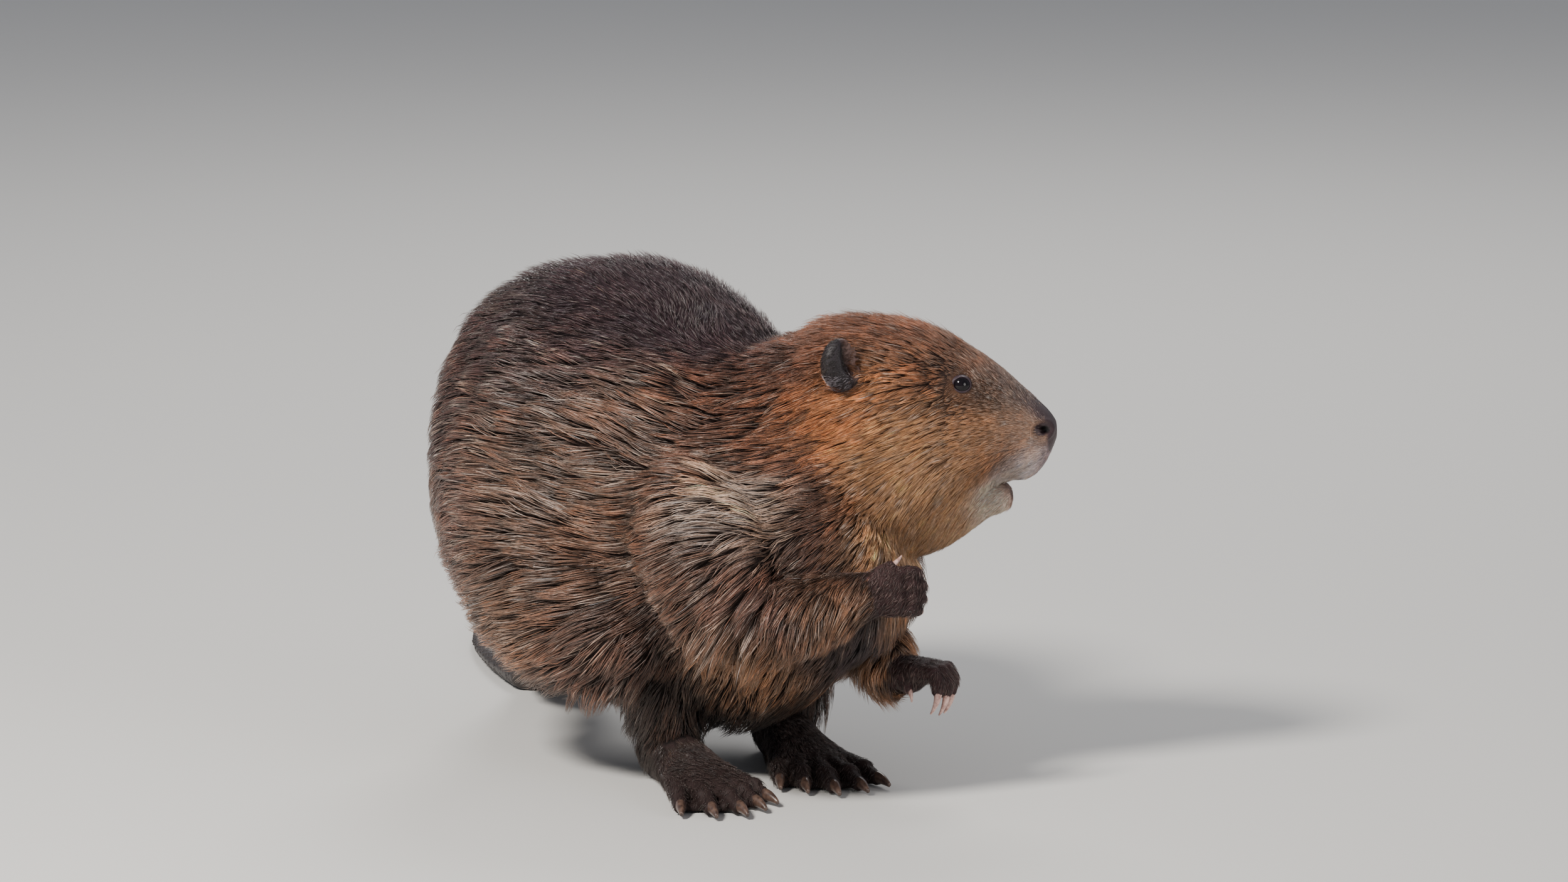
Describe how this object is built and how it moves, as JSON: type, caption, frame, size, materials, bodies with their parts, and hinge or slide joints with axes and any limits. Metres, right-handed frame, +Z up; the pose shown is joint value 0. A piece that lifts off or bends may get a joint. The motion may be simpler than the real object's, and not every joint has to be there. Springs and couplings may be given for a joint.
{
  "type": "beaver",
  "caption": "Life-size beaver on its hind feet, back arched, fore paws lifted before the chest and head turned to its left, with the broad flat tail laid on the floor.",
  "frame": {"origin": "on the floor, under the middle of the whole animal's box", "axes": "+X is ahead along the trunk, +Y is the animal's left, +Z is up; the head is turned 45 degrees from +X towards +Y"},
  "size_m": [0.6342, 0.4246, 0.324],
  "materials": {
    "coat": "long brown fur with darker back and golden tips",
    "head_coat": "short reddish to tan fur",
    "dark_skin": "dark bare and short-haired skin of paws and feet",
    "nose": "moist dark nose pad",
    "eye": "wet gloss",
    "claw": "horn, satin",
    "tail": "dark scaled skin",
    "ear": "near black, thinly furred"
  },
  "bodies": {
    "root": {"chest": "coat", "mid_body": "coat", "rump": "coat", "neck": "coat", "tail_root": "coat", "left_upper_arm": "coat", "right_upper_arm": "coat", "left_forearm": "coat", "right_forearm": "coat", "left_thigh": "coat", "right_thigh": "coat", "left_shank": "coat", "right_shank": "coat", "head": "head_coat", "muzzle": "head_coat", "lower_jaw": "head_coat", "nose_pad": "nose", "tail": "tail", "left_ear": "ear", "left_eye": "eye", "left_fore_paw": "dark_skin", "left_hind_foot": "dark_skin", "left_fore_claw_1": "claw", "left_fore_claw_2": "claw", "left_fore_claw_3": "claw", "left_fore_claw_4": "claw", "left_fore_claw_5": "claw", "left_hind_claw_1": "claw", "left_hind_claw_2": "claw", "left_hind_claw_3": "claw", "left_hind_claw_4": "claw", "left_hind_claw_5": "claw", "right_ear": "ear", "right_eye": "eye", "right_fore_paw": "dark_skin", "right_hind_foot": "dark_skin", "right_fore_claw_1": "claw", "right_fore_claw_2": "claw", "right_fore_claw_3": "claw", "right_fore_claw_4": "claw", "right_fore_claw_5": "claw", "right_hind_claw_1": "claw", "right_hind_claw_2": "claw", "right_hind_claw_3": "claw", "right_hind_claw_4": "claw", "right_hind_claw_5": "claw"}
  },
  "joints": []
}
